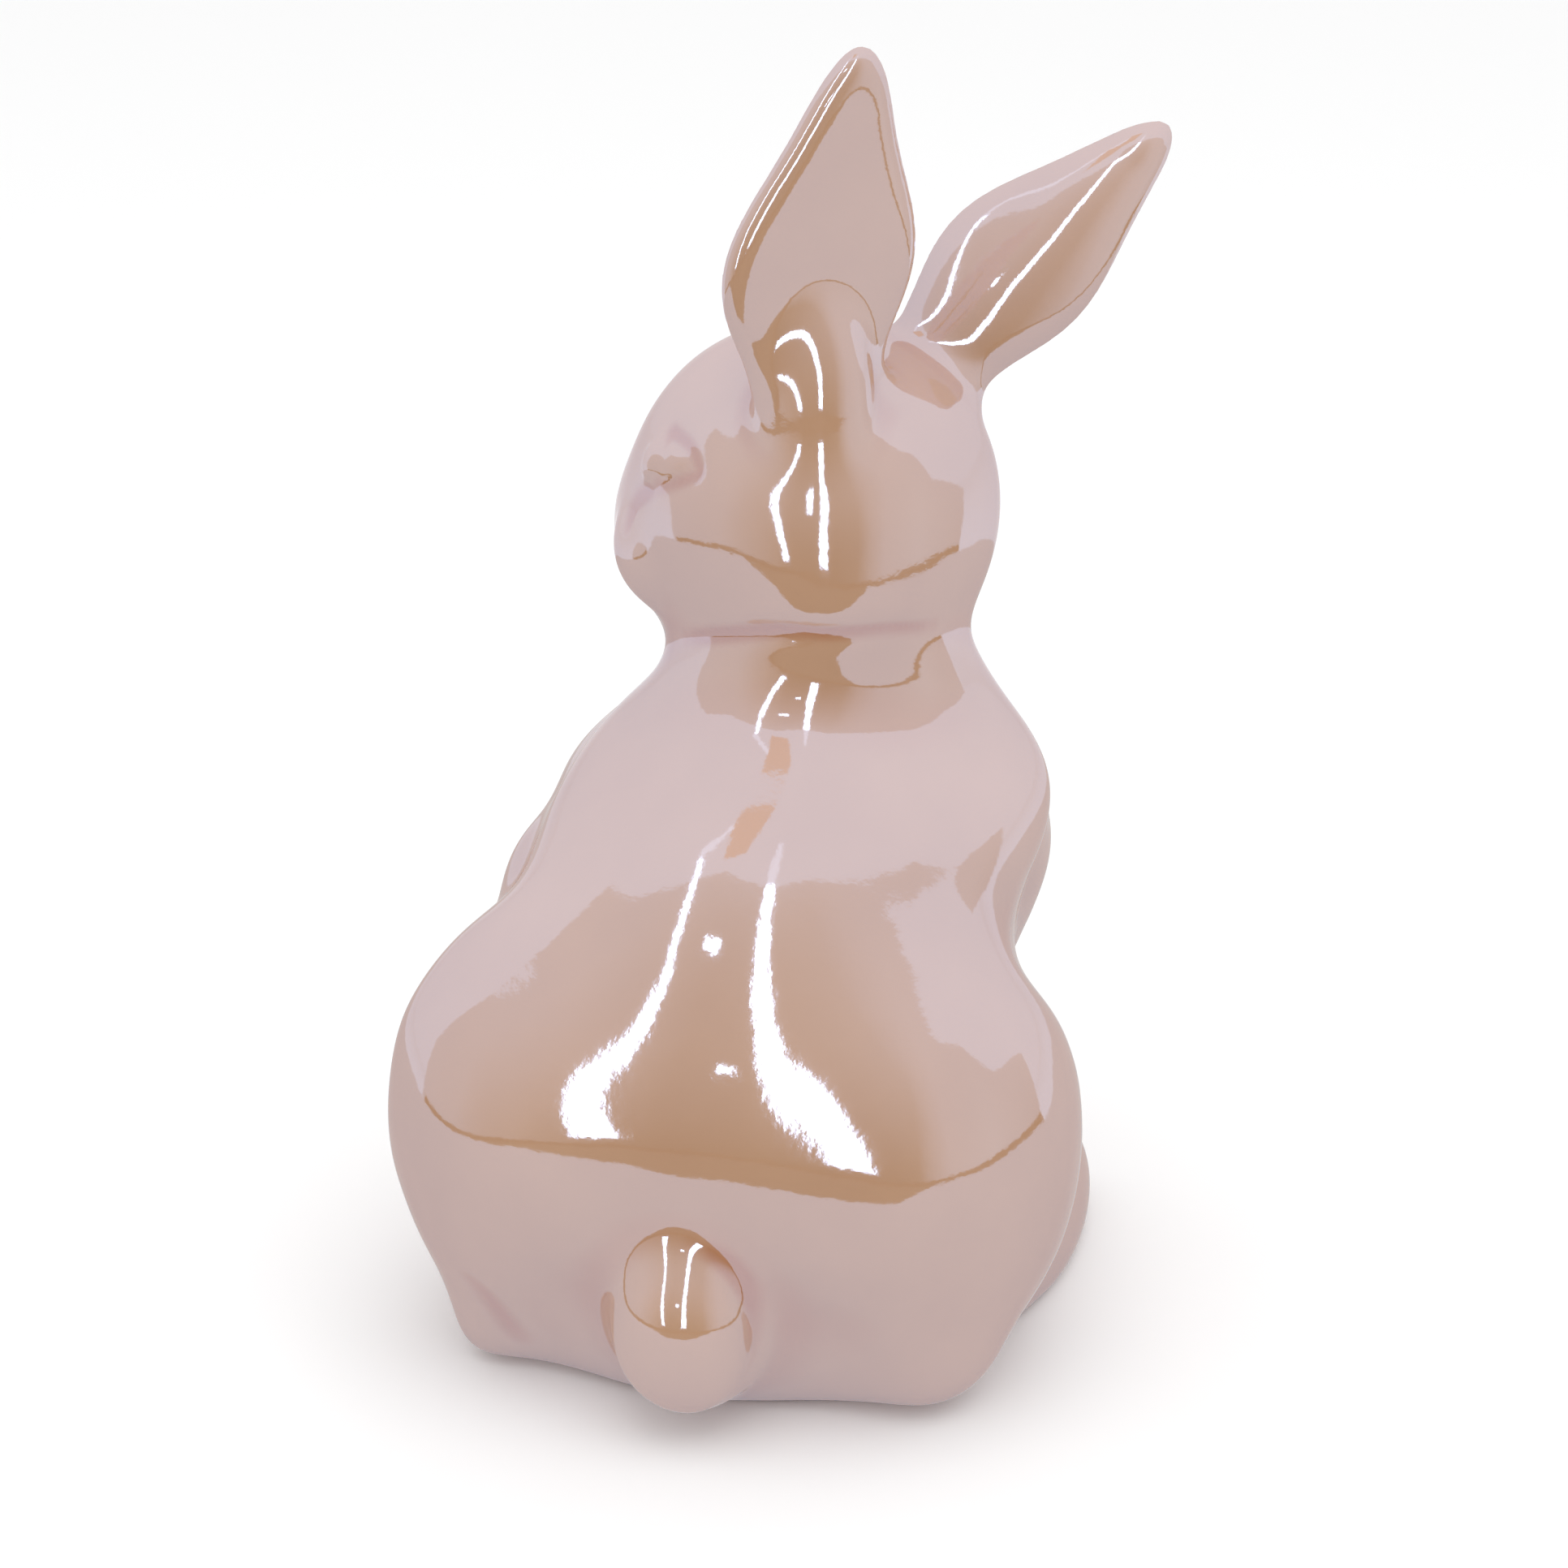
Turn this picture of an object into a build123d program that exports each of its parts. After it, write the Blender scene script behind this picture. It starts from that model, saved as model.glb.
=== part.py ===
"""Ceramic rabbit figurine: a sitting rabbit that looks over its left shoulder.

The figurine is slip cast. A hollow body and a hollow head are cast with an even wall, and the
ears, tail, forelegs and hind feet are small castings luted to them with slip before the firing.
Millimetres, +Z up. The rabbit faces -Y, its left side is +X, and the origin is on the flat base,
on the mid-plane of the body, between the haunches.
"""

import os

from build123d import *

# Casting
wall = 4.0
vent_diameter = 9.0
vent_forward = 20.0
overrun = 6.0

# Torso: a loft of ellipses from the base to the neck, which leans forward and to the right
torso_height = 99.0
torso_width = 76.5
torso_depth = 78.0
torso_forward = 14.0
torso_sway = 6.0
neck_lean = 10.0
# Height, forward shift, width and depth as shares of the torso's sizes, and the share of the lean
torso_shares = (
    (0.00, 0.000, 0.94, 0.86, 0.00),
    (0.08, 0.000, 0.98, 0.95, 0.00),
    (0.20, 0.000, 0.99, 1.00, 0.00),
    (0.34, 0.010, 0.97, 1.03, 0.00),
    (0.47, 0.020, 0.90, 1.05, 0.10),
    (0.60, 0.070, 0.90, 1.02, 0.27),
    (0.71, 0.125, 0.88, 0.92, 0.60),
    (0.81, 0.185, 0.76, 0.70, 0.78),
    (0.89, 0.185, 0.61, 0.55, 0.97),
    (1.00, 0.170, 0.47, 0.44, 1.00),
)

# Haunches: the thighs, cast in one with the torso, tilted down towards the knee
haunch_width = 38.0
haunch_depth = 64.0
haunch_height = 58.0
haunch_sink = 10.75
haunch_spread = torso_width / 2 - haunch_sink
haunch_forward = 3.0
haunch_rise = 31.5
haunch_tilt = 36.0

# Rump: the broad back between the haunches, with their tilt
rump_width = 78.0
rump_depth = 62.0
rump_height = 56.0

# Swellings of the body casting at the left flank, the right shoulder and the two heels
# Width, depth and height, then the place to the left, backward and up, as shares of the torso's
swelling_shares = (
    (0.30, 0.38, 0.33, 0.366, -0.32, 0.52),
    (0.27, 0.32, 0.24, -0.31, -0.455, 0.73),
    (0.16, 0.31, 0.145, 0.408, 0.065, 0.055),
    (0.305, 0.36, 0.24, -0.362, 0.10, 0.112),
)

# Tail
tail_width = 21.0
tail_depth = 20.0
tail_height = 25.0
tail_back = torso_depth / 2 - torso_forward
tail_rise = 15.5

# Forelegs: lofts of flat ellipses from the paw to the shoulder
shoulder_drop = 20.0
foreleg_height = torso_height - shoulder_drop
foreleg_width = 23.0
foreleg_depth = 33.0
foreleg_spread = 23.5
foreleg_lead = 5.0
foreleg_forward = torso_forward + torso_depth / 2 + foreleg_lead
# Height, spread, forward place, width and depth as shares of the foreleg's sizes
foreleg_shares = (
    (0.00, 0.46, 1.00, 0.72, 0.66),
    (0.08, 0.48, 0.98, 0.76, 0.68),
    (0.18, 0.54, 0.93, 0.64, 0.50),
    (0.34, 0.70, 0.88, 0.66, 0.52),
    (0.52, 0.86, 0.82, 0.78, 0.66),
    (0.68, 0.98, 0.76, 0.96, 0.90),
    (0.81, 1.00, 0.70, 1.00, 1.00),
    (0.92, 0.92, 0.66, 0.80, 0.80),
    (1.00, 0.76, 0.64, 0.34, 0.36),
)

# Hind feet
foot_width = 19.0
foot_length = 56.0
foot_height = 16.0
foot_set_out = 5.0
foot_spread = haunch_spread + foot_set_out
foot_lead = 3.0
foot_forward = haunch_forward + haunch_depth / 2 + foot_lead
foot_rise = 5.0

# Head: a loft of ellipses from the back of the skull to the nose, turned to the rabbit's left
head_length = 56.0
head_width = 45.0
head_height = 48.0
head_side = 4.1
head_set_back = -1.7
head_forward = torso_forward + torso_shares[-1][1] * torso_depth - head_set_back
head_lift = 13.1
head_rise = torso_height + head_lift
head_yaw = 68.0
# Place along the head from the skull's centre, width, height and rise, as shares of its sizes
head_shares = (
    (-0.445, 0.12, 0.12, 0.00),
    (-0.425, 0.36, 0.36, 0.00),
    (-0.360, 0.66, 0.66, 0.00),
    (-0.230, 0.90, 0.90, 0.00),
    (-0.070, 1.00, 1.00, 0.00),
    (0.090, 0.98, 1.00, 0.00),
    (0.230, 0.86, 0.92, -0.02),
    (0.350, 0.68, 0.78, -0.06),
    (0.440, 0.50, 0.58, -0.11),
    (0.500, 0.33, 0.38, -0.13),
    (0.525, 0.12, 0.14, -0.13),
)
cheek_diameter = 22.0
cheek_spread = 8.0
cheek_drop = 6.5
cheek_forward = 14.0
eye_length = 10.5
eye_height = 8.0
eye_depth = 5.0
eye_spread = 18.4
eye_rise = 7.0
eye_forward = 10.0

# Ears: lofts of flat ellipses from the root to the tip, hollowed in front
left_ear_length = 53.2
left_ear_width = 26.0
right_ear_length = 49.8
right_ear_width = 21.7
ear_sizes = {"left": (left_ear_length, left_ear_width), "right": (right_ear_length, right_ear_width)}
ear_thickness = 7.5
left_root_spread = 9.5
left_root_rise = 13.0
right_root_spread = 8.7
right_root_rise = 13.6
ear_roots = {"left": (left_root_spread, left_root_rise), "right": (-right_root_spread, right_root_rise)}
ear_root_back = 10.0
hollow_width_share = 0.64
hollow_length_share = 0.78
hollow_depth = 3.2
# Place along the ear, width and thickness as shares of its sizes, and the share of the bow
ear_shares = (
    (0.00, 0.58, 1.00, 0.00),
    (0.14, 0.70, 1.00, 0.60),
    (0.30, 0.88, 0.96, 1.00),
    (0.44, 1.00, 0.92, 0.90),
    (0.58, 0.89, 0.86, 0.70),
    (0.74, 0.61, 0.80, 0.45),
    (0.88, 0.39, 0.72, 0.20),
    (0.96, 0.22, 0.58, 0.05),
    (1.00, 0.06, 0.20, 0.00),
)
hollow_place_share = 0.46
# How far the middle of the left ear bows outwards, and that of the right ear inwards
left_ear_bow = 4.1
right_ear_bow = 2.1
ear_bows = {"left": left_ear_bow, "right": -right_ear_bow}
# Compass heading of each ear's lean, measured from the face's, its lean from the vertical, and
# where its hollow faces, in degrees
ear_angles = {"left": (144.0, 11.0, -38.0), "right": (-137.0, 43.3, -66.0)}

SIDES = {"left": 1, "right": -1}


def compass(degrees):
    """The level direction that lies this far to the left of straight ahead."""
    return Vector(0, -1, 0).rotate(Axis.Z, degrees)


def ellipsoid(width, depth, height, place):
    """A closed ellipsoid of these full sizes, made apart from any part being built."""
    unit = Sphere(1, mode=Mode.PRIVATE)
    shaped = scale(unit, by=(width / 2, depth / 2, height / 2), mode=Mode.PRIVATE)
    return shaped.moved(place)


def torso_sections(inset):
    """The torso's ellipses from the base up, drawn in by the inset."""
    sections = []
    for height, forward, width, depth, lean in torso_shares:
        centre = (-lean * torso_sway, -torso_forward - forward * torso_depth, height * torso_height)
        with BuildSketch(Plane(centre).rotated((lean * neck_lean, 0, 0))) as section:
            Ellipse(width * torso_width / 2 - inset, depth * torso_depth / 2 - inset)
        sections.append(section.sketch)
    return sections


def haunches(inset):
    """Both thighs and the rump between them, drawn in by the inset."""
    thigh = [size - 2 * inset for size in (haunch_width, haunch_depth, haunch_height)]
    rump = [size - 2 * inset for size in (rump_width, rump_depth, rump_height)]
    return [
        ellipsoid(*sizes, Location((side * haunch_spread, -haunch_forward, haunch_rise), (haunch_tilt, 0, 0)))
        for side, sizes in ((-1, thigh), (0, rump), (1, thigh))
    ]


def swellings():
    """The places where the body casting stands out over the limbs."""
    torso = (torso_width, torso_depth, torso_height)
    return [
        ellipsoid(
            *(share * size for share, size in zip(shares[:3], torso)),
            Location(tuple(share * size for share, size in zip(shares[3:], torso))),
        )
        for shares in swelling_shares
    ]


head_plane = Plane(
    (-head_side, -head_forward, head_rise),
    x_dir=compass(head_yaw + 90),
    z_dir=compass(head_yaw),
)


def in_head(across, up, forward):
    """A place given across to the head's left, up and forward from the skull's centre."""
    return head_plane.location * Location((across, up, forward))


def head_sections(shares, inset):
    """The head's ellipses from the back of the skull to the nose, drawn in by the inset."""
    sections = []
    for along, width, height, rise in shares:
        with BuildSketch(head_plane.offset(along * head_length)) as section:
            with Locations((0, rise * head_height)):
                Ellipse(width * head_width / 2 - inset, height * head_height / 2 - inset)
        sections.append(section.sketch)
    return sections


# The outside of the body, filled: what the other castings are cut to
with BuildPart() as body_form:
    loft(torso_sections(0))
    add(haunches(0))
    add(swellings())
    split(bisect_by=Plane.XY, keep=Keep.TOP)

with BuildPart() as body_cavity:
    loft(torso_sections(wall))
    add(haunches(wall))
    split(bisect_by=Plane.XY.offset(wall), keep=Keep.TOP)

with BuildPart() as body:
    add(body_form.part)
    add(body_cavity.part, mode=Mode.SUBTRACT)
    with BuildSketch(Plane.XY):
        with Locations((0, -vent_forward)):
            Circle(vent_diameter / 2)
    extrude(amount=wall + overrun, mode=Mode.SUBTRACT)

# The outside of the head, filled
with BuildPart() as head_form:
    loft(head_sections(head_shares, 0))
    for side in SIDES.values():
        with Locations(in_head(side * cheek_spread, -cheek_drop, cheek_forward)):
            Sphere(cheek_diameter / 2)
        add(ellipsoid(eye_depth, eye_height, eye_length, in_head(side * eye_spread, eye_rise, eye_forward)))

with BuildPart() as head_cavity:
    loft(head_sections(head_shares[2:-3], wall))

with BuildPart() as head:
    add(head_form.part)
    add(head_cavity.part, mode=Mode.SUBTRACT)
    add(body_form.part, mode=Mode.SUBTRACT)

with BuildPart() as tail:
    add(ellipsoid(tail_width, tail_depth, tail_height, Location((0, tail_back, tail_rise))))
    add(body_form.part, mode=Mode.SUBTRACT)


def cast_foreleg(side):
    """One foreleg, from the paw on the ground to the shoulder, cut to the body."""
    with BuildPart() as foreleg:
        for height, spread, forward, width, depth in foreleg_shares:
            with BuildSketch(Plane.XY.offset(height * foreleg_height)):
                with Locations((side * spread * foreleg_spread, -forward * foreleg_forward)):
                    Ellipse(width * foreleg_width / 2, depth * foreleg_depth / 2)
        loft()
        add(body_form.part, mode=Mode.SUBTRACT)
    return foreleg.part


def cast_hind_foot(side):
    """One hind foot, flat on the ground beside the forelegs, cut to the haunch."""
    place = Location((side * foot_spread, -foot_forward, foot_rise))
    with BuildPart() as foot:
        add(ellipsoid(foot_width, foot_length, 2 * (foot_height - foot_rise), place))
        split(bisect_by=Plane.XY, keep=Keep.TOP)
        add(body_form.part, mode=Mode.SUBTRACT)
    return foot.part


def cast_ear(name, side):
    """One ear, bowed to its side and hollowed in front, cut to the head."""
    heading, lean, facing = (angle + turn for angle, turn in zip(ear_angles[name], (head_yaw, 0, head_yaw)))
    length, width = ear_sizes[name]
    root = in_head(*ear_roots[name], -ear_root_back).position
    along_ear = Vector(0, 0, 1).rotate(Axis((0, 0, 0), compass(heading + 90)), lean)
    ear_plane = Plane(root, x_dir=compass(facing + 90), z_dir=along_ear)
    with BuildPart() as ear:
        for along, breadth, thickness, bow in ear_shares:
            with BuildSketch(ear_plane.offset(along * length)):
                with Locations((side * bow * ear_bows[name], 0)):
                    Ellipse(breadth * width / 2, thickness * ear_thickness / 2)
        loft()
        middle = Location((side * ear_bows[name], -ear_thickness / 2, hollow_place_share * length))
        hollow_sizes = (hollow_width_share * width, 2 * hollow_depth, hollow_length_share * length)
        hollow = ellipsoid(*hollow_sizes, ear_plane.location * middle)
        add(hollow, mode=Mode.SUBTRACT)
        add(head_form.part, mode=Mode.SUBTRACT)
    return ear.part


castings = {"body": body.part, "head": head.part, "tail": tail.part}
for name, side in SIDES.items():
    castings[f"{name}_foreleg"] = cast_foreleg(side)
    castings[f"{name}_hind_foot"] = cast_hind_foot(side)
    castings[f"{name}_ear"] = cast_ear(name, side)

os.makedirs("parts", exist_ok=True)
for name, casting in castings.items():
    casting.label = name
    export_step(casting, f"parts/{name}.step")
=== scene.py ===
"""Ceramic rabbit figurine: one glazed skin over the castings, in a white studio open on one side."""

import math

import bpy
import numpy as np
import openvdb
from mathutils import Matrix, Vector


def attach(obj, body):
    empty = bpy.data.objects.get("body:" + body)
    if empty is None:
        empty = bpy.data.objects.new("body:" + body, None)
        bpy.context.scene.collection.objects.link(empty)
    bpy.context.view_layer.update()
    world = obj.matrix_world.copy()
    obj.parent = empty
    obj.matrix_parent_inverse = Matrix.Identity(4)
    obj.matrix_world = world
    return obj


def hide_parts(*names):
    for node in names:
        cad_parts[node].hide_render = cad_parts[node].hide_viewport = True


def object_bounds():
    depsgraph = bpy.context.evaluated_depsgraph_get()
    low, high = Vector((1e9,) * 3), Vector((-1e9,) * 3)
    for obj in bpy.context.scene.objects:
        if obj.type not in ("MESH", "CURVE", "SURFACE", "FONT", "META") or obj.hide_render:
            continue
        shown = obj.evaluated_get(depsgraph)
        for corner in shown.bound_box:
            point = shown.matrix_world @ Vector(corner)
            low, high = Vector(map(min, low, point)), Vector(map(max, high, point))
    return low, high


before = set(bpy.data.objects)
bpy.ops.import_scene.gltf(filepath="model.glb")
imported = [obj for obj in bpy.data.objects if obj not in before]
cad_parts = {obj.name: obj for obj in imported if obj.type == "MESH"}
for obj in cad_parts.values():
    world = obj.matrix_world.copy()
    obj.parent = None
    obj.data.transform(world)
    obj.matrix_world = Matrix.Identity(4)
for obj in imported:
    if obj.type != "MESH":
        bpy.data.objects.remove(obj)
cad_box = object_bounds()

# Sizes of the skin's work are in millimetres, as in the CAD
MM = 0.001
VOXEL = 0.6
MARGIN = 7.0
# The hollow is looked for on every third cell. Cells this near to the wall or the ground bound it there,
# and on the full grid it grows until it is this deep in the wall
HOLLOW_STEP = 3
GROUND_SKIN = 0.5
WALL_SKIN = 0.3
WALL_INSIDE = -0.6
# How far the distance fields reach from the surface
WALL_REACH = 6.0
FORM_REACH = 12.0
BODY_REACH = 16.0

corner = np.array(cad_box[0]) / MM - MARGIN
extent = np.array(cad_box[1]) / MM + MARGIN - corner
shape = tuple(int(n) for n in np.ceil(extent / VOXEL))
axis_x, axis_y, axis_z = (corner[i] + VOXEL * np.arange(shape[i], dtype=np.float32) for i in range(3))
axes = (axis_x, axis_y, axis_z)


def new_grid(background):
    """An empty grid of distances on the work's voxels."""
    grid = openvdb.FloatGrid(background)
    grid.transform = openvdb.createLinearTransform(VOXEL)
    return grid


def distance(points, triangles, quads, reach):
    """The signed distance to a closed surface, exact within the reach and held level beyond it."""
    grid = openvdb.FloatGrid.createLevelSetFromPolygons(
        (points - corner).astype(np.float32),
        triangles=triangles,
        quads=quads,
        transform=openvdb.createLinearTransform(VOXEL),
        halfWidth=reach / VOXEL,
    )
    field = np.zeros(shape, dtype=np.float32)
    grid.copyToArray(field)
    return field


def surface(field, level=0.0):
    """The closed surface on which the field has the level: points, triangles and quads."""
    grid = new_grid(1000.0)
    grid.copyFromArray(field)
    points, triangles, quads = grid.convertToPolygons(isovalue=level, adaptivity=0.0)
    return points + corner, triangles, quads


def casting(name, reach):
    """The signed distance to one CAD node."""
    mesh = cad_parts[name].data
    mesh.calc_loop_triangles()
    points = np.empty(len(mesh.vertices) * 3, dtype=np.float32)
    mesh.vertices.foreach_get("co", points)
    triangles = np.empty(len(mesh.loop_triangles) * 3, dtype=np.int32)
    mesh.loop_triangles.foreach_get("vertices", triangles)
    no_quads = np.zeros((0, 4), dtype=np.uint32)
    return distance(points.reshape(-1, 3) / MM, triangles.reshape(-1, 3).astype(np.uint32), no_quads, reach)


def spread(mask):
    """The mask grown by one cell along each axis."""
    grown = mask.copy()
    for axis in range(3):
        low = [slice(None)] * 3
        high = [slice(None)] * 3
        low[axis], high[axis] = slice(None, -1), slice(1, None)
        grown[tuple(high)] |= mask[tuple(low)]
        grown[tuple(low)] |= mask[tuple(high)]
    return grown


def hollow(field):
    """The cells of the space that the solids close off above the ground."""
    solid = field[::HOLLOW_STEP, ::HOLLOW_STEP, ::HOLLOW_STEP] < WALL_SKIN
    solid[:, :, axis_z[::HOLLOW_STEP] < GROUND_SKIN] = True
    outside = np.zeros_like(solid)
    outside[0], outside[-1] = True, True
    outside[:, 0], outside[:, -1] = True, True
    outside[:, :, 0], outside[:, :, -1] = True, True
    count = 0
    while outside.sum() != count:
        count = outside.sum()
        for turn in range(6):
            outside = spread(outside) & ~solid
    coarse = ~outside & ~solid
    core = np.zeros(shape, dtype=bool)
    core[::HOLLOW_STEP, ::HOLLOW_STEP, ::HOLLOW_STEP] = coarse
    for turn in range(2 * HOLLOW_STEP):
        core = spread(core) & (field > WALL_INSIDE)
    return core


def blend(first, second, radius):
    """Two forms joined with a smooth hollow of about this radius between them."""
    share = np.clip(0.5 + 0.5 * (second - first) / radius, 0.0, 1.0)
    return second * (1 - share) + first * share - radius * share * (1 - share)


def window(centre, reach):
    """The slices of the grid within the reach of a place, and its coordinates there."""
    cuts = []
    for i in range(3):
        low, high = np.searchsorted(axes[i], (centre[i] - reach[i], centre[i] + reach[i]))
        cuts.append(slice(int(low), int(high)))
    grids = (axes[0][cuts[0], None, None], axes[1][None, cuts[1], None], axes[2][None, None, cuts[2]])
    return tuple(cuts), grids


def turned(grids, centre, frame_axes):
    """Coordinates of the grid's points along three axes from a centre."""
    offsets = [grids[i] - centre[i] for i in range(3)]
    return [sum(offsets[i] * axis[i] for i in range(3)) for axis in frame_axes]


WORLD_AXES = ((1.0, 0.0, 0.0), (0.0, 1.0, 0.0), (0.0, 0.0, 1.0))


def ellipsoid_field(grids, centre, halves, frame_axes):
    """The distance to an ellipsoid, near enough."""
    along = turned(grids, centre, frame_axes)
    near = np.sqrt(sum((a / h) ** 2 for a, h in zip(along, halves)))
    steep = np.sqrt(sum((a / h**2) ** 2 for a, h in zip(along, halves)))
    return near * (near - 1.0) / np.maximum(steep, 1e-6)


def add_form(field, centre, halves, radius, frame_axes=WORLD_AXES):
    """Adds an ellipsoid to the field, with a smooth hollow round it."""
    reach = [max(halves) + 3 * radius] * 3
    cuts, grids = window(centre, reach)
    field[cuts] = blend(field[cuts], ellipsoid_field(grids, centre, halves, frame_axes), radius)


def cut_form(field, centre, halves, radius, frame_axes=WORLD_AXES):
    """Takes an ellipsoid out of the field, with a rounded edge."""
    reach = [max(halves) + 3 * radius] * 3
    cuts, grids = window(centre, reach)
    field[cuts] = -blend(-field[cuts], ellipsoid_field(grids, centre, halves, frame_axes), radius)


def swell(field, centre, spreads, height, frame_axes=WORLD_AXES):
    """Raises the surface near a place by a soft hump, or lowers it where the height is negative."""
    cuts, grids = window(centre, [2.6 * max(spreads)] * 3)
    along = turned(grids, centre, frame_axes)
    field[cuts] -= height * np.exp(-sum((a / s) ** 2 for a, s in zip(along, spreads)))


def flattened(field, place, normal, radius):
    """The form cut to a plane through the place, with a rounded edge."""
    normal = np.array(normal) / np.linalg.norm(normal)
    offset = (
        axis_x[:, None, None] * normal[0]
        + axis_y[None, :, None] * normal[1]
        + axis_z[None, None, :] * normal[2]
    )
    return -blend(-field, float(np.dot(place, normal)) - offset, radius)


def crease(field, path, width, depth, ends=True):
    """Presses a groove along a path into the surface, or raises a ridge where the depth is negative."""
    path = np.array(path, dtype=np.float32)
    middle = (path.min(axis=0) + path.max(axis=0)) / 2
    cuts, grids = window(middle, (path.max(axis=0) - path.min(axis=0)) / 2 + 3 * width)
    lengths = np.linalg.norm(np.diff(path, axis=0), axis=1)
    total, start = lengths.sum(), 0.0
    nearest = np.full(field[cuts].shape, 1e6, dtype=np.float32)
    place = np.zeros_like(nearest)
    for a, b, length in zip(path[:-1], path[1:], lengths):
        step = (b - a) / length
        offsets = [grids[i] - a[i] for i in range(3)]
        along = np.clip(sum(offsets[i] * step[i] for i in range(3)), 0.0, length)
        gap = sum((offsets[i] - along * step[i]) ** 2 for i in range(3))
        closer = gap < nearest
        nearest = np.where(closer, gap, nearest)
        place = np.where(closer, (start + along) / total, place)
        start += length
    strength = np.sin(np.pi * np.clip(place, 0.02, 0.98)) ** 0.6 if ends else 1.0
    field[cuts] += depth * strength * np.exp(-nearest / width**2)


def smooth_path(points, steps=8):
    """A path through the points with rounded corners."""
    points = np.array(points, dtype=float)
    padded = np.vstack([2 * points[0] - points[1], points, 2 * points[-1] - points[-2]])
    out = []
    for p, q, r, s in zip(padded[:-3], padded[1:-2], padded[2:-1], padded[3:]):
        for t in np.arange(steps) / steps:
            bend = (2 * p - 5 * q + 4 * r - s) * t**2 + (3 * q - p - 3 * r + s) * t**3
            out.append(0.5 * (2 * q + (r - p) * t + bend))
    out.append(points[-1])
    return np.array(out)


def softened(field, radius):
    """The field after a Gaussian blur of this radius."""
    half = max(1, int(math.ceil(2.5 * radius / VOXEL)))
    weights = np.exp(-0.5 * (np.arange(-half, half + 1) * VOXEL / radius) ** 2)
    weights = (weights / weights.sum()).astype(np.float32)
    for axis in range(3):
        padded = np.pad(field, [(half, half) if i == axis else (0, 0) for i in range(3)], mode="edge")
        total = np.zeros_like(field)
        for k, weight in enumerate(weights):
            cuts = [slice(None)] * 3
            cuts[axis] = slice(k, k + shape[axis])
            total += weight * padded[tuple(cuts)]
        field = total
    return field


def rounded(field, radius):
    """The field after a wide blur of about this radius, as three runs of plain averages."""
    half = max(1, round(radius / VOXEL))
    for axis in (0, 1, 2) * 3:
        padded = np.pad(field, [(half + 1, half) if i == axis else (0, 0) for i in range(3)], mode="edge")
        total = np.cumsum(padded, axis=axis)
        low = np.take(total, np.arange(shape[axis]), axis=axis)
        high = np.take(total, np.arange(shape[axis]) + 2 * half + 1, axis=axis)
        field = (high - low) / (2 * half + 1)
    return field


def eased(share):
    """The share held between 0 and 1, with soft ends."""
    share = np.clip(share, 0.0, 1.0)
    return share * share * (3.0 - 2.0 * share)


def filleted(outside, radius, voxel, reach):
    """The distance to a closed surface whose creases are filled to this radius."""
    for level in (radius, -radius):
        points, triangles, quads = outside
        grid = openvdb.FloatGrid.createLevelSetFromPolygons(
            points.astype(np.float32),
            triangles=triangles,
            quads=quads,
            transform=openvdb.createLinearTransform(voxel),
            halfWidth=(radius + 2.5) / voxel,
        )
        outside = grid.convertToPolygons(isovalue=level, adaptivity=0.0)
    return distance(*outside, reach)


# Head frame, as in the CAD: across to its left, up, and forward to the nose
HEAD_YAW = math.radians(68.0)
HEAD_CENTRE = np.array([-4.1, -29.0, 112.1])
head_forward = np.array([math.sin(HEAD_YAW), -math.cos(HEAD_YAW), 0.0])
head_across = np.array([math.cos(HEAD_YAW), math.sin(HEAD_YAW), 0.0])
head_up = np.array([0.0, 0.0, 1.0])
head_axes = (tuple(head_across), tuple(head_up), tuple(head_forward))


def in_head(across, up, forward):
    """A place given across to the head's left, up and forward from the skull's centre."""
    return HEAD_CENTRE + across * head_across + up * head_up + forward * head_forward


RAY_STEP = 0.2


def sampled(field, places):
    """The field's value at each place, between its voxels too."""
    cells = (np.asarray(places) - corner) / VOXEL
    low = np.clip(np.floor(cells).astype(int), 0, np.array(shape) - 2)
    part = cells - low
    total = np.zeros(len(cells))
    for i in (0, 1):
        for j in (0, 1):
            for k in (0, 1):
                weight = np.abs(1 - i - part[:, 0]) * np.abs(1 - j - part[:, 1]) * np.abs(1 - k - part[:, 2])
                total += weight * field[low[:, 0] + i, low[:, 1] + j, low[:, 2] + k]
    return total


def touched(field, start, direction):
    """Where a straight line from outside first meets the surface."""
    steps = np.arange(0.0, 1.2 * np.linalg.norm(extent), RAY_STEP)
    places = np.asarray(start) + steps[:, None] * np.asarray(direction)
    inside = np.all((places > corner + VOXEL) & (places < corner + extent - VOXEL), axis=1)
    values = np.where(inside, sampled(field, np.clip(places, corner, corner + extent)), 10.0)
    first = int(np.argmax(values < 0.0))
    if values[first] >= 0.0:
        raise ValueError(f"no surface from {start}")
    before, after = values[first - 1], values[first]
    return places[first] - np.asarray(direction) * RAY_STEP * after / (after - before)


# The photograph's camera, in millimetres and in pixels of its 1932 pixel frame
CAMERA_PLACE = np.array([-125.1, 501.6, 268.0])
CAMERA_AIM = np.array([-7.0, 0.0, 82.0])
FOCAL_PIXELS = 5180.0
FRAME_PIXELS = 1932.0
CLEAR_OF_OBJECT = 380.0
camera_forward = (CAMERA_AIM - CAMERA_PLACE) / np.linalg.norm(CAMERA_AIM - CAMERA_PLACE)
camera_right = np.cross(camera_forward, (0.0, 0.0, 1.0))
camera_right /= np.linalg.norm(camera_right)
camera_up = np.cross(camera_right, camera_forward)


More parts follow.
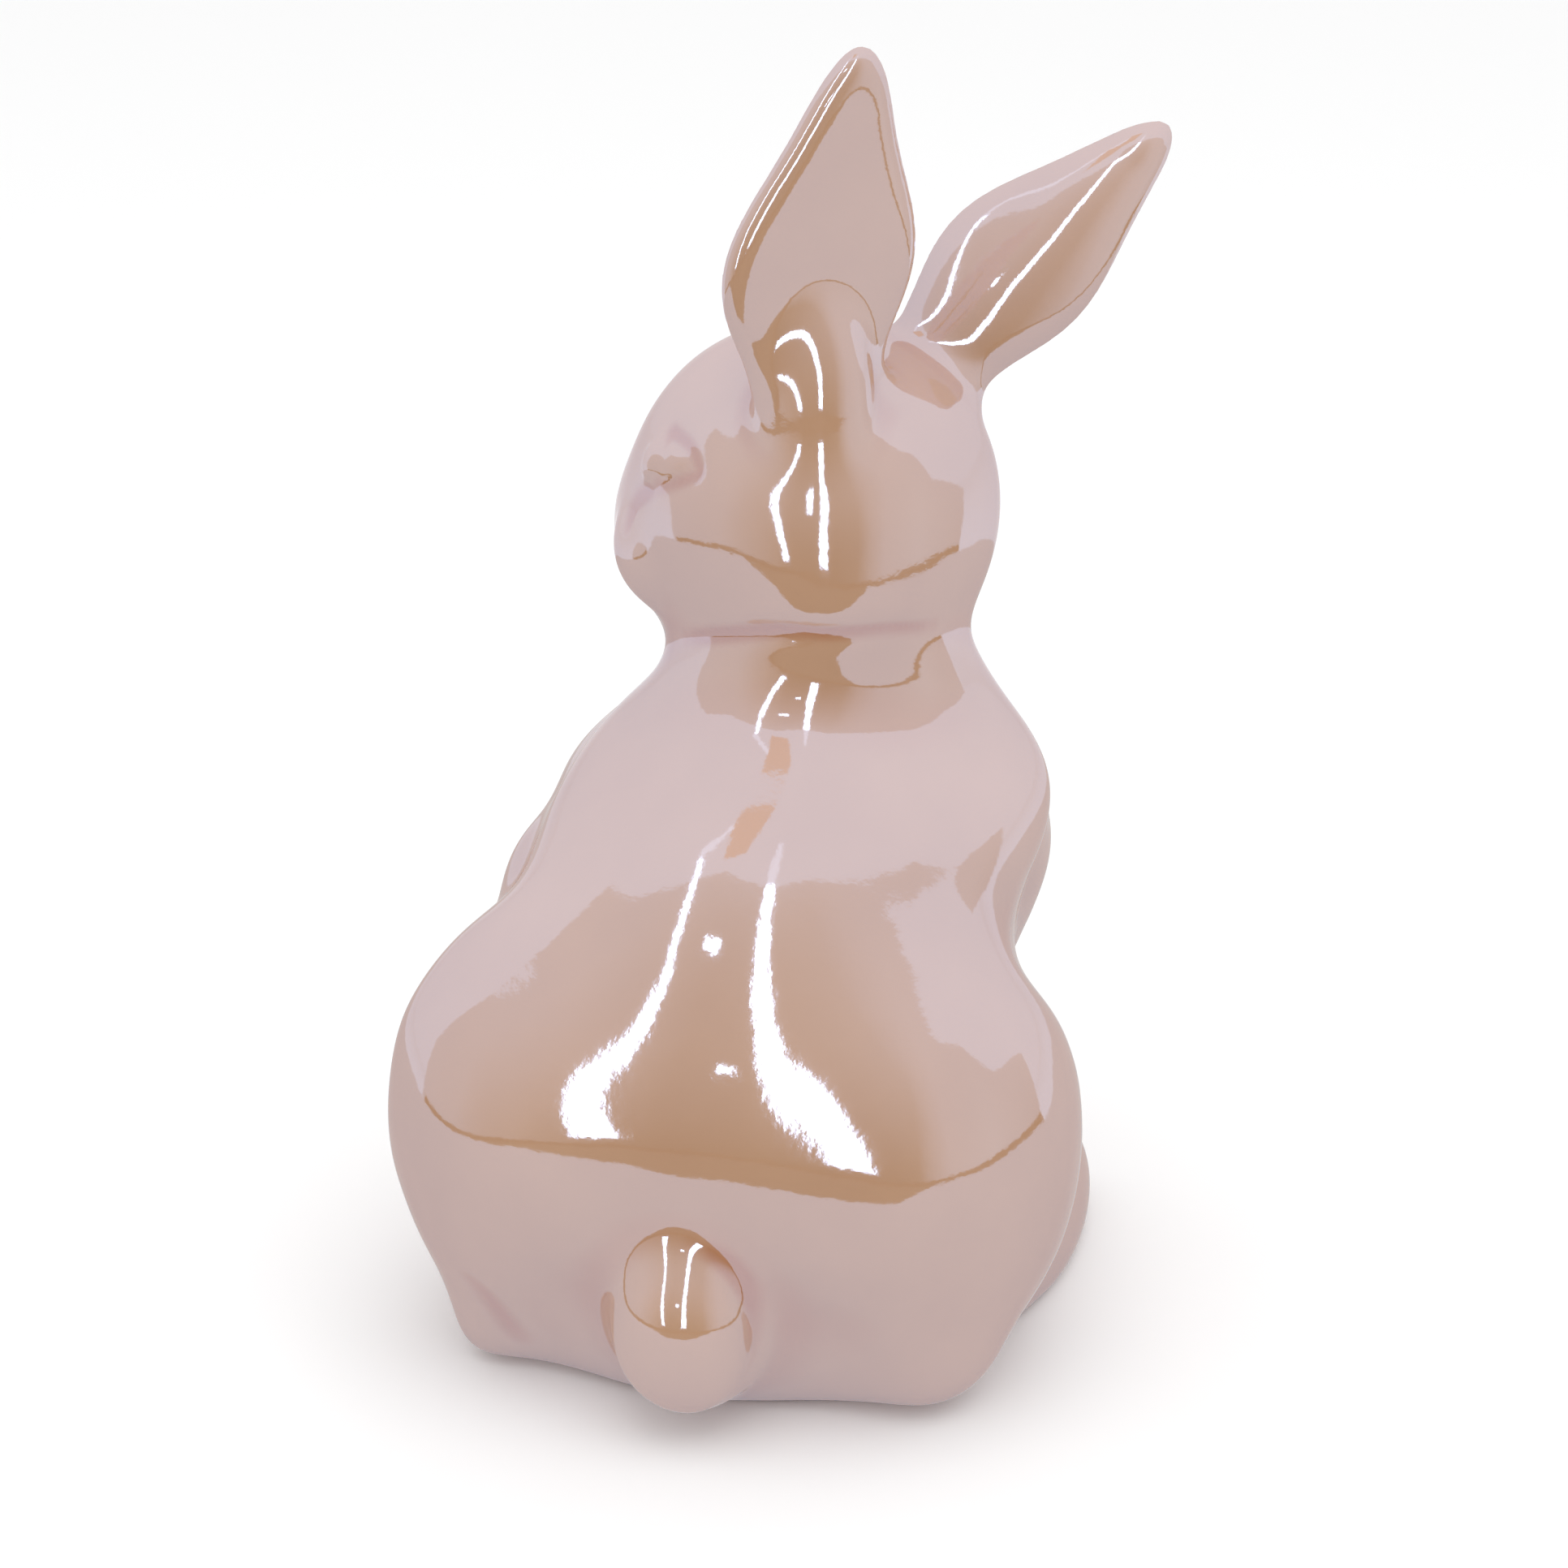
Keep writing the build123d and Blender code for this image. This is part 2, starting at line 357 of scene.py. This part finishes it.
def seen(field, x, y):
    """The place on the surface that the camera sees at a pixel of its frame."""
    side, rise = (x - FRAME_PIXELS / 2) / FOCAL_PIXELS, (FRAME_PIXELS / 2 - y) / FOCAL_PIXELS
    ray = camera_forward + side * camera_right + rise * camera_up
    ray /= np.linalg.norm(ray)
    return touched(field, CAMERA_PLACE + CLEAR_OF_OBJECT * ray, ray)


def head_place(place):
    """A place as across, up and forward in the head."""
    return [float(np.dot(place - HEAD_CENTRE, axis)) for axis in (head_across, head_up, head_forward)]


def on_head_side(field, side, up, forward):
    """The place on one side of the head at this height and this far forward."""
    return touched(field, in_head(side * 40.0, up, forward), -side * head_across)


def on_face(field, across, up):
    """The place on the front of the face."""
    return touched(field, in_head(across, up, 45.0), -head_forward)


# Fillets, with the voxels that are fine enough for each: the body's front and rear, and all creases
FRONT_FILLET, FRONT_VOXEL = 8.0, 1.0
REAR_FILLET, REAR_VOXEL = 24.0, 2.0
CREASE_FILLET, CREASE_VOXEL = 3.0, 0.8
# Where the body passes from its front to its rear, and from its sides to its smooth back
REAR_START, REAR_DEPTH = -14.0, 20.0
BACK_START, BACK_DEPTH = -4.0, 16.0
BACK_FOOT, BACK_HEIGHT = 14.0, 14.0
# Blurs of the fields, and the outward push that makes up for the back's wide one
BODY_BLUR = 1.8
BACK_BLUR, BACK_PUSH = 8.0, 1.5
FORM_BLUR = 1.0
EAR_BLUR = 0.8
# How softly each casting runs into what it is luted to
HEAD_JOIN = 3.5
LIMB_JOINS = {
    "left_foreleg": 5.0,
    "right_foreleg": 5.0,
    "left_hind_foot": 3.0,
    "right_hind_foot": 3.0,
    "tail": 5.0,
}
EAR_JOIN = 4.0
# Humps and hollows of the photograph's outline and mirror images: place, spreads and height
BODY_SWELLS = (
    ((46, 9, 50), (11, 12, 9), 1.0),
    ((16, 26, 42), (12, 12, 12), 0.8),
    ((-2, 27, 39), (20, 16, 16), 1.5),
)
HEAD_SWELL = ((-13, -8, 101), (15, 9, 7), 1.8)
FORM_SWELLS = (
    ((-37, -20, 56), (9, 14, 10), -1.9),
    ((-36, -30, 76), (8, 12, 9), 1.1),
    ((22, -24, 90), (9, 12, 8), -1.5),
)

# The castings, filled and joined with the fillets that the slip and the glaze leave
body_wall, head_wall = casting("body", WALL_REACH), casting("head", WALL_REACH)
core = hollow(np.minimum(body_wall, head_wall))
outside = surface(np.where(core, -BODY_REACH, body_wall))
rear = eased((axis_y[None, :, None] - REAR_START) / REAR_DEPTH)
front_half = filleted(outside, FRONT_FILLET, FRONT_VOXEL, BODY_REACH)
rear_half = filleted(outside, REAR_FILLET, REAR_VOXEL, BODY_REACH)
body = softened((1 - rear) * front_half + rear * rear_half, BODY_BLUR)
behind = eased((axis_y[None, :, None] - BACK_START) / BACK_DEPTH)
back = behind * eased((axis_z[None, None, :] - BACK_FOOT) / BACK_HEIGHT)
body = (1 - back) * body + back * (rounded(body, BACK_BLUR) - BACK_PUSH)
head = distance(*surface(np.where(core, -FORM_REACH, head_wall)), FORM_REACH)
for hump in BODY_SWELLS:
    swell(body, *hump)
swell(head, *HEAD_SWELL)
form = blend(body, head, HEAD_JOIN)
for name, radius in LIMB_JOINS.items():
    form = blend(form, casting(name, FORM_REACH), radius)
form = softened(filleted(surface(form), CREASE_FILLET, CREASE_VOXEL, FORM_REACH), FORM_BLUR)
for hump in FORM_SWELLS:
    swell(form, *hump)

# The upright ear has a flat back with a swollen root, the cocked one a ridge along its back
EAR_BACK, EAR_BACK_NORMAL = (-13.3, -10.6, 150.0), (-0.5, 0.866, -0.2)
EAR_ROOT, EAR_ROOT_HALVES = (-8.6, -11.5, 131.6), (7.0, 4.5, 12.0)
RIDGE_PIXELS = [(1190, 440), (1228, 378), (1290, 308), (1350, 240), (1392, 192)]
for name in ("left_ear", "right_ear"):
    ear = softened(casting(name, FORM_REACH), EAR_BLUR)
    if name == "left_ear":
        ear = flattened(ear, EAR_BACK, EAR_BACK_NORMAL, 1.0)
    form = blend(form, ear, EAR_JOIN)
add_form(form, EAR_ROOT, EAR_ROOT_HALVES, EAR_JOIN)
crease(form, smooth_path([seen(form, *pixel) for pixel in RIDGE_PIXELS]), 5.0, -1.1)

# Eyes: the left one where the photograph shows it, the right one its mirror image
EYE_PIXELS = [(826, 529), (814, 552), (808, 576), (806, 599), (822, 597)]
EYE_PIXELS += [(840, 591), (858, 583), (856, 569), (847, 548)]
EYE_MIDDLE = (832, 568)
CHEEK_PIXELS = [(806, 600), (794, 606), (780, 620), (771, 645), (768, 668)]
SOCKET_SPREADS, EYE_SPREADS, EYE_RISE = (4.0, 5.0, 5.0), (2.6, 3.4, 3.4), 0.9
middle = head_place(seen(form, *EYE_MIDDLE))
outline = [head_place(seen(form, *pixel)) for pixel in EYE_PIXELS]
cheek_line = [head_place(seen(form, *pixel)) for pixel in CHEEK_PIXELS]
before = form.copy()
for side in (1, -1):
    outline_path = [on_head_side(before, side, up, ahead) for across, up, ahead in outline]
    place = on_head_side(before, side, middle[1], middle[2])
    lid_path = smooth_path(outline_path + outline_path[:1])
    swell(form, place, SOCKET_SPREADS, -EYE_RISE, head_axes)
    swell(form, place, EYE_SPREADS, EYE_RISE, head_axes)
    crease(form, lid_path, 0.9, 1.1, ends=False)
    cheek_path = [on_head_side(before, side, up, ahead) for across, up, ahead in cheek_line]
    crease(form, smooth_path(cheek_path), 1.4, 1.2)

# Nose and mouth, each as a line from the middle of the face: across and up from the skull's centre
NOSE_LINE = [(0, -6.5), (1.6, -5.0), (3.2, -3.4)]
MOUTH_LINE = [(0, -10.5), (2.6, -11.6), (5.5, -10.2)]
FACE_LINE_WIDTH = 0.8
for side in (1, -1):
    for line in (NOSE_LINE, MOUTH_LINE):
        path = smooth_path([on_face(before, side * across, up) for across, up in line])
        crease(form, path, FACE_LINE_WIDTH, 1.0)
split_path = [on_face(before, *NOSE_LINE[0]), on_face(before, *MOUTH_LINE[0])]
crease(form, split_path, FACE_LINE_WIDTH, 0.9, ends=False)

# The crease at the back of the neck, and the one over the left heel
NECK_PIXELS = [(845, 785), (900, 782), (960, 778), (1020, 782), (1090, 776), (1150, 770)]
HEEL_PIXELS = [(562, 1560), (590, 1592), (622, 1632), (652, 1662)]
crease(form, smooth_path([seen(before, *pixel) for pixel in NECK_PIXELS]), 1.1, 1.2)
crease(form, smooth_path([seen(before, *pixel) for pixel in HEEL_PIXELS]), 2.2, 0.8)

# The tail's edge, where it stands clear of the rump
TAIL_MIDDLE = (0.0, 28.5, 15.5)
TAIL_HALF_WIDTH, TAIL_HALF_HEIGHT = 10.8, 13.0
for side, angles, depth in ((-1, range(10, 171, 10), 1.3), (1, range(80, 171, 10), 0.8)):
    rim = []
    for angle in angles:
        turn = math.radians(angle)
        across, up = side * TAIL_HALF_WIDTH * math.sin(turn), TAIL_HALF_HEIGHT * math.cos(turn)
        rim.append((across, TAIL_MIDDLE[1], TAIL_MIDDLE[2] + up))
    crease(form, rim, 1.6, depth)

# Toes: three lines on each hind foot, two on each paw
HIND_FOOT_ACROSS = 32.5
PAW_ACROSS = {1: 11.4, -1: 10.8}
for side in (1, -1):
    for across in (-3.6, 0.0, 3.6):
        x = side * HIND_FOOT_ACROSS + across
        tops = [touched(form, (x, y, 40.0), (0, 0, -1)) for y in (-50, -55, -59)]
        tip = touched(form, (x, -95.0, 4.0), (0, 1, 0))
        crease(form, smooth_path([*tops, tip, tip + np.array([0, 1, -4])]), 1.0, 1.2)
    for across in (-2.4, 2.4):
        x = side * PAW_ACROSS[side] + across
        path = [touched(form, (x, -110.0, z), (0, 1, 0)) for z in (11.0, 8.0, 5.0, 2.0)]
        crease(form, smooth_path(path), 1.0, 1.1)

# The flat base with its rounded edge, and the vent hole in it
BASE_EDGE, BASE_ROUND = 0.8, 2.0
VENT_PLACE, VENT_HALVES, VENT_ROUND = (0.0, -20.0, 0.0), (4.5, 4.5, 14.0), 1.0
edge_layer = int(np.searchsorted(axis_z, BASE_EDGE))
form[:, :, :edge_layer] = form[:, :, edge_layer : edge_layer + 1]
form = flattened(form, (0.0, 0.0, 0.0), (0.0, 0.0, -1.0), BASE_ROUND)
cut_form(form, VENT_PLACE, VENT_HALVES, VENT_ROUND)


def slope(field, places, step=0.5):
    """The direction and steepness in which the field grows at each place."""
    growth = []
    for side in np.eye(3) * step:
        growth.append((sampled(field, places + side) - sampled(field, places - side)) / (2 * step))
    return np.stack(growth, axis=1)


# The skin's mesh, with every point set on the surface and its normal taken from the field
points, triangles, quads = surface(form)
for turn in range(2):
    steep = slope(form, points)
    steepness = np.maximum((steep**2).sum(axis=1), 0.1)
    points = points - (sampled(form, points) / steepness)[:, None] * steep
NORMAL_BLUR, NORMAL_STEP = 0.9, 0.8
normals = slope(softened(form, NORMAL_BLUR), points, NORMAL_STEP)
normals /= np.linalg.norm(normals, axis=1)[:, None]

# Painted shade: the base colour is darkened in creases and hollows, where a blur of the form lies outside the
# surface, fully from this depth on
CREASE_SHADE_BLUR, CREASE_SHADE_DEPTH = 1.6, 0.35
painted_crease_shade = np.clip(-sampled(softened(form, CREASE_SHADE_BLUR), points) / CREASE_SHADE_DEPTH, 0.0, 1.0)

mesh = bpy.data.meshes.new("skin")
faces = quads.tolist() + triangles.tolist()
mesh.from_pydata((points * MM).tolist(), [], faces)
mesh.shade_smooth()
mesh.normals_split_custom_set_from_vertices(normals.tolist())
# The painted crease shade is stored on the skin's points for the glaze to read
mesh.attributes.new("painted_crease_shade", "FLOAT", "POINT").data.foreach_set("value", painted_crease_shade.astype(np.float32))
skin = bpy.data.objects.new("skin", mesh)
bpy.context.collection.objects.link(skin)
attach(skin, "root")
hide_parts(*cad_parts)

# Pearl glaze: a tan pink body colour under a mirror-bright lustre that throws back blue more than red
glaze = bpy.data.materials.new("glaze")
glaze.use_nodes = True
nodes, links = glaze.node_tree.nodes, glaze.node_tree.links
shader = nodes["Principled BSDF"]
shader.inputs["Roughness"].default_value = 0.06
shader.inputs["IOR"].default_value = 2.8
shader.inputs["Specular IOR Level"].default_value = 0.9
shader.inputs["Specular Tint"].default_value = (0.51, 0.66, 0.93, 1.0)
object_place = nodes.new("ShaderNodeTexCoord").outputs["Object"]


def noise(scale, detail, roughness=0.5):
    """Cloudy noise on the object, with cells of about 1 / scale metres."""
    node = nodes.new("ShaderNodeTexNoise")
    node.inputs["Scale"].default_value = scale
    node.inputs["Detail"].default_value = detail
    node.inputs["Roughness"].default_value = roughness
    links.new(object_place, node.inputs["Vector"])
    return node.outputs["Fac"]


def ramp(value, stops):
    """The value turned into a colour by these stops."""
    node = nodes.new("ShaderNodeValToRGB")
    while len(node.color_ramp.elements) < len(stops):
        node.color_ramp.elements.new(0.5)
    for element, (position, colour) in zip(node.color_ramp.elements, stops):
        element.position = position
        element.color = (*colour, 1.0)
    links.new(value, node.inputs["Fac"])
    return node.outputs["Color"]


def bump(value, strength, depth, normal=None):
    """A relief of this depth in metres, on top of the normal that is given."""
    node = nodes.new("ShaderNodeBump")
    node.inputs["Strength"].default_value = strength
    node.inputs["Distance"].default_value = depth
    links.new(value, node.inputs["Height"])
    if normal:
        links.new(normal, node.inputs["Normal"])
    return node.outputs["Normal"]


tone = ramp(noise(38.0, 3.0), ((0.3, (0.575, 0.325, 0.185)), (0.7, (0.635, 0.37, 0.215))))
# Painted shade in creases and hollows: the base colour is mixed towards a darker brown where the crease
# attribute is high
crease_shade_attribute = nodes.new("ShaderNodeAttribute")
crease_shade_attribute.attribute_name = "painted_crease_shade"
crease_shade_mix = nodes.new("ShaderNodeMix")
crease_shade_mix.data_type = "RGBA"
crease_shade_mix.inputs["B"].default_value = (0.54, 0.24, 0.11, 1.0)
links.new(crease_shade_attribute.outputs["Fac"], crease_shade_mix.inputs["Factor"])
links.new(tone, crease_shade_mix.inputs["A"])
links.new(crease_shade_mix.outputs["Result"], shader.inputs["Base Color"])
ripple = bump(noise(75.0, 2.0, 0.4), 0.25, 0.0006)
skin_grain = bump(noise(900.0, 2.0), 0.15, 0.00006, ripple)
links.new(skin_grain, shader.inputs["Normal"])
mesh.materials.append(glaze)

# Camera
camera_data = bpy.data.cameras.new("camera")
camera = bpy.data.objects.new("camera", camera_data)
bpy.context.collection.objects.link(camera)
camera.location = CAMERA_PLACE * MM
camera.rotation_euler = (Vector(CAMERA_AIM * MM) - camera.location).to_track_quat("-Z", "Y").to_euler()
camera_data.sensor_width = 36.0
camera_data.lens = camera_data.sensor_width * FOCAL_PIXELS / FRAME_PIXELS
camera_data.clip_start = 0.01
bpy.context.scene.camera = camera

# Studio: a white floor and white air, open on the camera's side to a brown room with two strip lamps
CAMERA_AZIMUTH = 194.0
ROOM_RADIUS = 0.34


def emission(name, stops, strength, upper=None):
    """A plain light whose colour runs through the stops from end to end, and up to another one if given."""
    material = bpy.data.materials.new(name)
    material.use_nodes = True
    tree = material.node_tree
    tree.nodes.remove(tree.nodes["Principled BSDF"])
    light = tree.nodes.new("ShaderNodeEmission")
    light.inputs["Strength"].default_value = strength
    if len(stops) == 1:
        light.inputs["Color"].default_value = (*stops[0][1], 1.0)
    else:
        along = tree.nodes.new("ShaderNodeUVMap")
        split = tree.nodes.new("ShaderNodeSeparateXYZ")
        tree.links.new(along.outputs["UV"], split.inputs["Vector"])
        node = tree.nodes.new("ShaderNodeValToRGB")
        while len(node.color_ramp.elements) < len(stops):
            node.color_ramp.elements.new(0.5)
        for element, (position, colour) in zip(node.color_ramp.elements, stops):
            element.position = position
            element.color = (*colour, 1.0)
        tree.links.new(split.outputs["X"], node.inputs["Fac"])
        colour = node.outputs["Color"]
        if upper:
            mixer = tree.nodes.new("ShaderNodeMix")
            mixer.data_type = "RGBA"
            mixer.inputs["B"].default_value = (*upper, 1.0)
            tree.links.new(split.outputs["Y"], mixer.inputs["Factor"])
            tree.links.new(colour, mixer.inputs["A"])
            colour = mixer.outputs["Result"]
        tree.links.new(colour, light.inputs["Color"])
    tree.links.new(light.outputs["Emission"], tree.nodes["Material Output"].inputs["Surface"])
    return material


def staged(name, card_mesh):
    """A piece of the studio that only the glaze reflects."""
    piece = bpy.data.objects.new(name, card_mesh)
    bpy.context.collection.objects.link(piece)
    piece.visible_camera = False
    piece.visible_diffuse = False
    piece.visible_transmission = False
    piece.visible_shadow = False
    return piece


def card(name, start, end, low, tops, radius, material, lean=0.0):
    """A curved card round the object that only its glaze reflects, between two bearings from the camera's.

    The tops are the card's height, or pairs of a bearing and the height there. The lean turns its top.
    """
    count = max(2, int(abs(end - start) / 3) + 1)
    corners, uvs = [], []
    if isinstance(tops, float):
        tops = ((start, tops), (end, tops))
    for i in range(count + 1):
        turn = start + (end - start) * i / count
        high = float(np.interp(turn, [stop for stop, height in tops], [height for stop, height in tops]))
        for top, height in enumerate((low, high)):
            bearing = math.radians(CAMERA_AZIMUTH + turn + top * lean)
            corners.append((math.sin(bearing) * radius, -math.cos(bearing) * radius, height))
            uvs.append((i / count, float(top)))
    faces = [(2 * i, 2 * i + 1, 2 * i + 3, 2 * i + 2) for i in range(count)]
    card_mesh = bpy.data.meshes.new(name)
    card_mesh.from_pydata(corners, [], faces)
    layer = card_mesh.uv_layers.new(name="along")
    for loop in card_mesh.loops:
        layer.data[loop.index].uv = uvs[loop.vertex_index]
    card_mesh.materials.append(material)
    return staged(name, card_mesh)


ROOM_STOPS = (
    (0.0, (0.70, 0.66, 0.64)),
    (0.15, (0.64, 0.59, 0.56)),
    (0.27, (0.42, 0.34, 0.29)),
    (0.36, (0.12, 0.08, 0.055)),
    (0.50, (0.07, 0.05, 0.035)),
    (0.58, (0.16, 0.12, 0.09)),
    (0.63, (0.46, 0.40, 0.36)),
    (0.69, (0.66, 0.61, 0.58)),
    (0.85, (0.76, 0.72, 0.68)),
    (1.0, (0.60, 0.56, 0.54)),
)
ROOM_UPPER = (0.70, 0.66, 0.64)
ROOM_TOPS = (
    (-106, 0.11),
    (-98, 0.30),
    (-80, 0.33),
    (-45, 0.58),
    (15, 0.56),
    (52, 0.39),
    (70, 0.30),
    (84, 0.16),
    (106, 0.10),
)
card("room", -106, 106, 0.0, ROOM_TOPS, ROOM_RADIUS, emission("room", ROOM_STOPS, 1.0, ROOM_UPPER))
sill_light = emission("room_sill", ((0.0, (0.10, 0.05, 0.03)),), 1.0)
card("room_sill", -104, 106, 0.0, 0.012, ROOM_RADIUS - 0.004, sill_light)

# The two strip lamps with their fainter glow above the room's wall, and two small panes
LAMP_RADIUS = ROOM_RADIUS - 0.008
LAMP_FOOT, LAMP_TOP, GLOW_TOP = 0.03, 0.56, 1.0
LAMP_COLOUR = (1.0, 0.99, 0.98)
strip_light = emission("strip_light", ((0.0, LAMP_COLOUR),), 5.0)
card("left_strip", -36, -32, LAMP_FOOT, LAMP_TOP, LAMP_RADIUS, strip_light, lean=-31.0)
card("right_strip", -11, -5, LAMP_FOOT, LAMP_TOP, LAMP_RADIUS, strip_light, lean=-2.0)
strip_glow = emission("strip_glow", ((0.0, LAMP_COLOUR),), 1.5)
card("left_glow", -70, -65, LAMP_TOP, GLOW_TOP, LAMP_RADIUS, strip_glow, lean=-5.0)
card("right_glow", -13, -7, LAMP_TOP, GLOW_TOP, LAMP_RADIUS, strip_glow)
card("upper_pane", -36, -28, 0.325, 0.350, LAMP_RADIUS, strip_light)
card("lower_pane", -21, -17, 0.155, 0.172, LAMP_RADIUS, strip_light)


def floor_card(name, inners, outer, height, material):
    """A ring's part on the floor that only the glaze reflects.

    The inners are pairs of a bearing from the camera's and the ring's inner radius there.
    """
    start, end = inners[0][0], inners[-1][0]
    count = int((end - start) / 3)
    corners = []
    for i in range(count + 1):
        turn = start + (end - start) * i / count
        inner = float(np.interp(turn, [stop for stop, radius in inners], [radius for stop, radius in inners]))
        bearing = math.radians(CAMERA_AZIMUTH + turn)
        for radius in (inner, outer):
            corners.append((math.sin(bearing) * radius, -math.cos(bearing) * radius, height))
    faces = [(2 * i, 2 * i + 1, 2 * i + 3, 2 * i + 2) for i in range(count)]
    card_mesh = bpy.data.meshes.new(name)
    card_mesh.from_pydata(corners, [], faces)
    card_mesh.materials.append(material)
    return staged(name, card_mesh)


# The table as the glaze sees it: a shade under the floor's white, with the room's brown edge on it
table_light = emission("table", ((0.0, (0.70, 0.69, 0.68)),), 1.0)
floor_card("table", ((-180, 0.001), (180, 0.001)), ROOM_RADIUS, 0.0005, table_light)
edge_light = emission("table_edge", ((0.0, (0.16, 0.11, 0.075)),), 1.0)
EDGE_INNERS = (
    (-62, 0.335),
    (-45, 0.25),
    (-34, 0.17),
    (-26, 0.14),
    (-4, 0.14),
    (8, 0.17),
    (18, 0.25),
    (28, 0.335),
)
floor_card("table_edge", EDGE_INNERS, ROOM_RADIUS, 0.001, edge_light)

# A warm shape high over the table, which the valley behind the neck throws back
upper_mesh = bpy.data.meshes.new("upper_card")
upper_corners = [(0.07, 0.115, 0.8), (0.215, 0.075, 0.8), (0.265, 0.35, 0.8), (0.14, 0.325, 0.8)]
upper_mesh.from_pydata(upper_corners, [], [(0, 1, 2, 3)])
upper_mesh.materials.append(emission("upper_card", ((0.0, (0.93, 0.60, 0.47)),), 1.0))
staged("upper_card", upper_mesh)

FLOOR_HALF = 4.0
floor_corners = [(x * FLOOR_HALF, y * FLOOR_HALF, 0.0) for x, y in ((-1, -1), (1, -1), (1, 1), (-1, 1))]
floor_mesh = bpy.data.meshes.new("floor")
floor_mesh.from_pydata(floor_corners, [], [(0, 1, 2, 3)])
floor_material = bpy.data.materials.new("floor")
floor_material.use_nodes = True
floor_shader = floor_material.node_tree.nodes["Principled BSDF"]
floor_shader.inputs["Base Color"].default_value = (0.93, 0.93, 0.93, 1.0)
floor_shader.inputs["Roughness"].default_value = 0.7
floor_mesh.materials.append(floor_material)
floor = bpy.data.objects.new("floor", floor_mesh)
bpy.context.collection.objects.link(floor)

world = bpy.data.worlds.new("world")
bpy.context.scene.world = world
world.use_nodes = True
air = world.node_tree.nodes["Background"]
air.inputs["Color"].default_value = (1.0, 1.0, 1.0, 1.0)
air.inputs["Strength"].default_value = 1.0
lamp_data = bpy.data.lights.new("top_light", "AREA")
lamp_data.energy = 3.0
lamp_data.size = 0.9
lamp = bpy.data.objects.new("top_light", lamp_data)
bpy.context.collection.objects.link(lamp)
lamp.location = (-0.15, 0.25, 1.0)
lamp.rotation_euler = (Vector((0, 0, 0.08)) - lamp.location).to_track_quat("-Z", "Y").to_euler()
lamp.visible_glossy = False
bpy.context.scene.view_settings.view_transform = "Standard"
